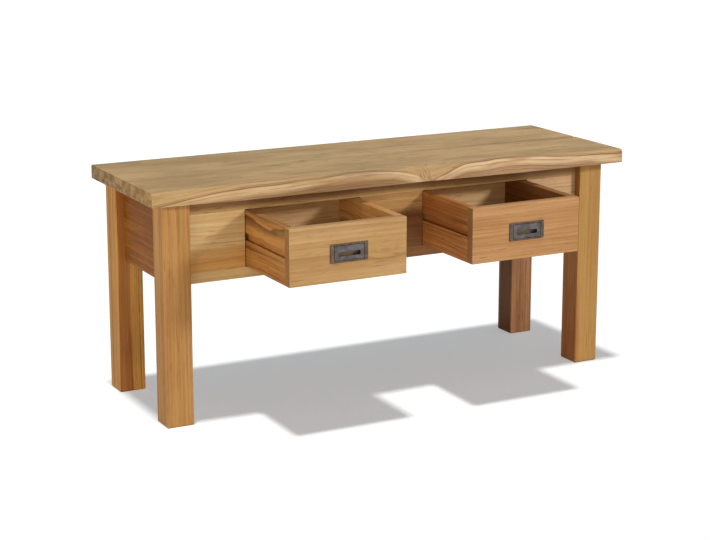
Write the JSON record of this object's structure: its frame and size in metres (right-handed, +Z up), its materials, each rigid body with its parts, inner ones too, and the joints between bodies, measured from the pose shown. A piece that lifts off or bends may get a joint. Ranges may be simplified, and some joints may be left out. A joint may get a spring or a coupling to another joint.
{
  "type": "entry bench",
  "caption": "Low solid-wood entry bench with a waney-edged plank seat, square legs and a tenoned apron frame that holds side-hung drawers with flush bail pulls.",
  "frame": {"origin": "on the floor, under the middle of the rectangle that the four legs stand on", "axes": "+X to the right along the seat, -Y to the front where the drawers open, +Z up"},
  "size_m": [0.9, 0.4236, 0.4],
  "materials": {
    "seat_wood": "waxed, brushed grain, greyish tan",
    "leg_wood": "waxed, golden brown",
    "front_wood": "waxed, golden brown with darker streaks",
    "apron_wood": "waxed, reddish brown",
    "drawer_wood": "waxed, light golden brown",
    "drawer_box_wood": "planed and lightly waxed",
    "inner_wood": "planed, unfinished",
    "dark_bronze": "dark antique bronze, rubbed on the edges",
    "screw_steel": "yellow zinc plated"
  },
  "bodies": {
    "frame": {"end_apron_left": "apron_wood", "end_apron_right": "apron_wood", "front_bottom_rail": "front_wood", "front_panel_centre": "front_wood", "front_panel_left": "front_wood", "front_panel_right": "front_wood", "front_top_rail": "front_wood", "guide_board_left_inner": "inner_wood", "guide_board_left_outer": "inner_wood", "guide_board_right_inner": "inner_wood", "guide_board_right_outer": "inner_wood", "leg_front_left": "leg_wood", "leg_front_right": "leg_wood", "leg_rear_left": "leg_wood", "leg_rear_right": "leg_wood", "rear_apron": "apron_wood", "runner_left_inner": "inner_wood", "runner_left_outer": "inner_wood", "runner_right_inner": "inner_wood", "runner_right_outer": "inner_wood", "runner_screws": "screw_steel", "seat_board_front": "seat_wood", "seat_board_rear": "seat_wood", "top_cleat_left": "inner_wood", "top_cleat_right": "inner_wood", "top_screws": "screw_steel"},
    "drawer_left": {"drawer_left_front": "drawer_wood", "drawer_left_side_left": "drawer_box_wood", "drawer_left_side_right": "drawer_box_wood", "drawer_left_back": "drawer_box_wood", "drawer_left_floor": "drawer_box_wood", "drawer_left_pull_plate": "dark_bronze", "drawer_left_pull_pin": "dark_bronze"},
    "bail_left": {"drawer_left_pull_bail": "dark_bronze"},
    "drawer_right": {"drawer_right_front": "drawer_wood", "drawer_right_side_left": "drawer_box_wood", "drawer_right_side_right": "drawer_box_wood", "drawer_right_back": "drawer_box_wood", "drawer_right_floor": "drawer_box_wood", "drawer_right_pull_plate": "dark_bronze", "drawer_right_pull_pin": "dark_bronze"},
    "bail_right": {"drawer_right_pull_bail": "dark_bronze"}
  },
  "joints": [
    {"name": "drawer_left_slide", "type": "slide", "parent": "frame", "child": "drawer_left", "axis": [0, -1, 0], "range_m": [-0.166, 0.022]},
    {"name": "bail_left_hinge", "type": "hinge", "parent": "drawer_left", "child": "bail_left", "pos_m": [-0.1685, -0.2861, 0.30965], "axis": [-1, 0, 0], "range_deg": [0, 90]},
    {"name": "drawer_right_slide", "type": "slide", "parent": "frame", "child": "drawer_right", "axis": [0, -1, 0], "range_m": [-0.166, 0.022]},
    {"name": "bail_right_hinge", "type": "hinge", "parent": "drawer_right", "child": "bail_right", "pos_m": [0.1685, -0.2861, 0.30965], "axis": [-1, 0, 0], "range_deg": [0, 90]}
  ]
}
